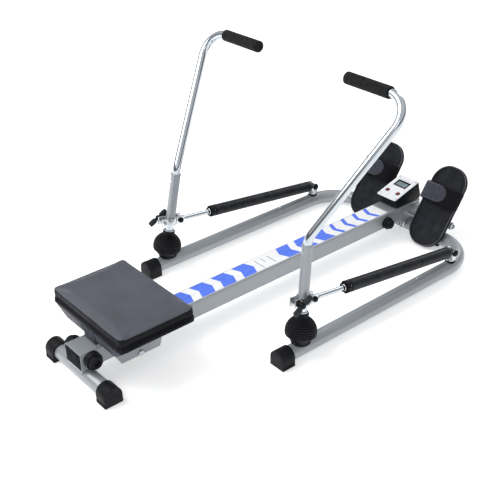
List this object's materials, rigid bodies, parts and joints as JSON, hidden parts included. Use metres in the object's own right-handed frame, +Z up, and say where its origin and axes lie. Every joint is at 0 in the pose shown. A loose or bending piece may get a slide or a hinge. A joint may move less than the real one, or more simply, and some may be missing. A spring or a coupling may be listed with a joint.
{
  "type": "rowing machine",
  "caption": "Full-motion rowing machine: sliding padded seat on a rail, swinging handle arms on ball boots, hydraulic cylinders, pivoting strapped pedals and a console.",
  "frame": {"origin": "on the floor, at the middle of the footprint box", "axes": "+X along the rail to the rower's feet, +Y to the rower's left, +Z up"},
  "size_m": [1.4205, 0.8362, 0.727],
  "materials": {
    "silver_paint": "satin metallic paint",
    "chrome": "polished chrome plate",
    "black_rubber": "matte moulded rubber",
    "grip_foam": "closed-cell foam",
    "cylinder_black": "semi-gloss black enamel",
    "black_plastic": "moulded, fine grain",
    "pedal_plastic": "moulded, coarse grip texture",
    "strap_webbing": "woven webbing",
    "seat_vinyl": "grained vinyl",
    "pan_plastic": "moulded",
    "roller_nylon": "turned nylon",
    "track_print": "printed film",
    "console_print": "printed face",
    "display": "black bezel with a grey display",
    "red_plastic": "moulded",
    "zinc_steel": "bright zinc plate"
  },
  "bodies": {
    "root": {"axle_spacers": "silver_paint", "base_feet": "black_rubber", "base_frame": "silver_paint", "beam_end_plugs": "black_plastic", "boot_bases": "black_rubber", "console_case": "black_plastic", "console_face": "console_print", "console_stem": "black_plastic", "console_window": "display", "frame_bolts": "zinc_steel", "front_cradle": "silver_paint", "front_pads": "black_rubber", "main_beam": "silver_paint", "pedal_axle": "zinc_steel", "pivot_yokes": "zinc_steel", "rear_feet": "black_rubber", "rear_stabiliser": "silver_paint", "track_bumpers": "black_rubber", "track_strip": "track_print"},
    "seat": {"seat_cushion": "seat_vinyl", "seat_pan": "pan_plastic", "seat_carriage": "silver_paint", "roller_axles": "zinc_steel"},
    "rear_roller": {"roller_rear": "roller_nylon"},
    "front_roller": {"roller_front": "roller_nylon"},
    "under_roller": {"roller_under": "roller_nylon"},
    "cross_left": {"pivot_cross_left": "zinc_steel"},
    "arm_left": {"pivot_post_left": "chrome", "boot_cover_left": "black_rubber", "lower_tube_left": "silver_paint", "upper_tube_left": "chrome", "hand_grip_left": "grip_foam", "cylinder_clamp_left": "zinc_steel", "clamp_bolt_left": "black_plastic"},
    "clamp_handle_left": {"clamp_handle_left": "black_plastic"},
    "bracket_left": {"swivel_bracket_left": "zinc_steel", "swivel_pin_left": "zinc_steel"},
    "cylinder_left": {"cylinder_body_left": "cylinder_black"},
    "dial_left": {"resistance_dial_left": "black_plastic"},
    "rod_left": {"piston_rod_left": "chrome"},
    "pedal_left": {"foot_pedal_left": "pedal_plastic", "foot_strap_left": "strap_webbing"},
    "button_left": {"button_left": "red_plastic"},
    "cross_right": {"pivot_cross_right": "zinc_steel"},
    "arm_right": {"pivot_post_right": "chrome", "boot_cover_right": "black_rubber", "lower_tube_right": "silver_paint", "upper_tube_right": "chrome", "hand_grip_right": "grip_foam", "cylinder_clamp_right": "zinc_steel", "clamp_bolt_right": "black_plastic"},
    "clamp_handle_right": {"clamp_handle_right": "black_plastic"},
    "bracket_right": {"swivel_bracket_right": "zinc_steel", "swivel_pin_right": "zinc_steel"},
    "cylinder_right": {"cylinder_body_right": "cylinder_black"},
    "dial_right": {"resistance_dial_right": "black_plastic"},
    "rod_right": {"piston_rod_right": "chrome"},
    "pedal_right": {"foot_pedal_right": "pedal_plastic", "foot_strap_right": "strap_webbing"},
    "button_right": {"button_right": "red_plastic"}
  },
  "joints": [
    {"name": "seat_slide", "type": "slide", "parent": "root", "child": "seat", "axis": [1, 0, 0], "range_m": [-0.016, 0.87]},
    {"name": "rear_roller_spin", "type": "hinge", "parent": "seat", "child": "rear_roller", "pos_m": [-0.594, 0, 0.1235], "axis": [0, 1, 0], "continuous": true},
    {"name": "front_roller_spin", "type": "hinge", "parent": "seat", "child": "front_roller", "pos_m": [-0.474, 0, 0.1235], "axis": [0, 1, 0], "continuous": true},
    {"name": "under_roller_spin", "type": "hinge", "parent": "seat", "child": "under_roller", "pos_m": [-0.522, 0, 0.0363], "axis": [0, 1, 0], "continuous": true},
    {"name": "arm_pitch_left", "type": "hinge", "parent": "root", "child": "cross_left", "pos_m": [-0.1645, 0.318, 0.084], "axis": [0, 1, 0], "range_deg": [-22, 18]},
    {"name": "arm_sweep_left", "type": "hinge", "parent": "cross_left", "child": "arm_left", "pos_m": [-0.1645, 0.318, 0.084], "axis": [0.9874, 0, -0.1582], "range_deg": [-6, 6]},
    {"name": "bracket_yaw_left", "type": "hinge", "parent": "root", "child": "bracket_left", "pos_m": [0.481, 0.318, 0.084], "axis": [0, 0, 1], "range_deg": [-1.5, 1.5]},
    {"name": "cylinder_pitch_left", "type": "hinge", "parent": "bracket_left", "child": "cylinder_left", "pos_m": [0.481, 0.318, 0.084], "axis": [-0.0118, 0.9999, 0], "range_deg": [-1.5, 1.5]},
    {"name": "rod_slide_left", "type": "slide", "parent": "cylinder_left", "child": "rod_left", "axis": [-0.9906, -0.0117, 0.1361], "range_m": [-0.03, 0.036]},
    {"name": "dial_turn_left", "type": "hinge", "parent": "cylinder_left", "child": "dial_left", "pos_m": [0.0164, 0.31252, 0.14785], "axis": [-0.9906, -0.0117, 0.1361], "range_deg": [-150, 150]},
    {"name": "clamp_screw_left", "type": "hinge", "parent": "arm_left", "child": "clamp_handle_left", "pos_m": [-0.17764, 0.31094, 0.179], "axis": [0.0121, 0.9971, 0.0758], "range_deg": [-180, 180]},
    {"name": "pedal_tilt_left", "type": "hinge", "parent": "root", "child": "pedal_left", "pos_m": [0.616, 0.139, 0.08], "axis": [0, 1, 0], "range_deg": [-2, 25]},
    {"name": "button_press_left", "type": "slide", "parent": "root", "child": "button_left", "axis": [0.2672, 0, -0.9636], "range_m": [0, 0.0015], "stiffness_N_per_m": 400, "springref_m": -0.002},
    {"name": "arm_pitch_right", "type": "hinge", "parent": "root", "child": "cross_right", "pos_m": [-0.1645, -0.318, 0.084], "axis": [0, 1, 0], "range_deg": [-22, 18]},
    {"name": "arm_sweep_right", "type": "hinge", "parent": "cross_right", "child": "arm_right", "pos_m": [-0.1645, -0.318, 0.084], "axis": [0.9874, 0, -0.1582], "range_deg": [-6, 6]},
    {"name": "bracket_yaw_right", "type": "hinge", "parent": "root", "child": "bracket_right", "pos_m": [0.481, -0.318, 0.084], "axis": [0, 0, 1], "range_deg": [-1.5, 1.5]},
    {"name": "cylinder_pitch_right", "type": "hinge", "parent": "bracket_right", "child": "cylinder_right", "pos_m": [0.481, -0.318, 0.084], "axis": [0.0118, 0.9999, 0], "range_deg": [-1.5, 1.5]},
    {"name": "rod_slide_right", "type": "slide", "parent": "cylinder_right", "child": "rod_right", "axis": [-0.9906, 0.0117, 0.1361], "range_m": [-0.03, 0.036]},
    {"name": "dial_turn_right", "type": "hinge", "parent": "cylinder_right", "child": "dial_right", "pos_m": [0.0164, -0.31252, 0.14785], "axis": [-0.9906, 0.0117, 0.1361], "range_deg": [-150, 150]},
    {"name": "clamp_screw_right", "type": "hinge", "parent": "arm_right", "child": "clamp_handle_right", "pos_m": [-0.17764, -0.31094, 0.179], "axis": [-0.0121, 0.9971, -0.0758], "range_deg": [-180, 180]},
    {"name": "pedal_tilt_right", "type": "hinge", "parent": "root", "child": "pedal_right", "pos_m": [0.616, -0.139, 0.08], "axis": [0, 1, 0], "range_deg": [-2, 25]},
    {"name": "button_press_right", "type": "slide", "parent": "root", "child": "button_right", "axis": [0.2672, 0, -0.9636], "range_m": [0, 0.0015], "stiffness_N_per_m": 400, "springref_m": -0.002}
  ],
  "couplings": [
    {"joint": "rear_roller_spin", "follows": "seat_slide", "rad_per_m": 66.667},
    {"joint": "front_roller_spin", "follows": "seat_slide", "rad_per_m": 66.667},
    {"joint": "under_roller_spin", "follows": "seat_slide", "rad_per_m": -60.606},
    {"joint": "bracket_yaw_left", "follows": "arm_sweep_left", "ratio": 0.1499},
    {"joint": "cylinder_pitch_left", "follows": "arm_pitch_left", "ratio": -0.0509},
    {"joint": "rod_slide_left", "follows": "arm_pitch_left", "m_per_rad": -0.089021},
    {"joint": "bracket_yaw_right", "follows": "arm_sweep_right", "ratio": 0.1499},
    {"joint": "cylinder_pitch_right", "follows": "arm_pitch_right", "ratio": -0.0509},
    {"joint": "rod_slide_right", "follows": "arm_pitch_right", "m_per_rad": -0.089021}
  ]
}
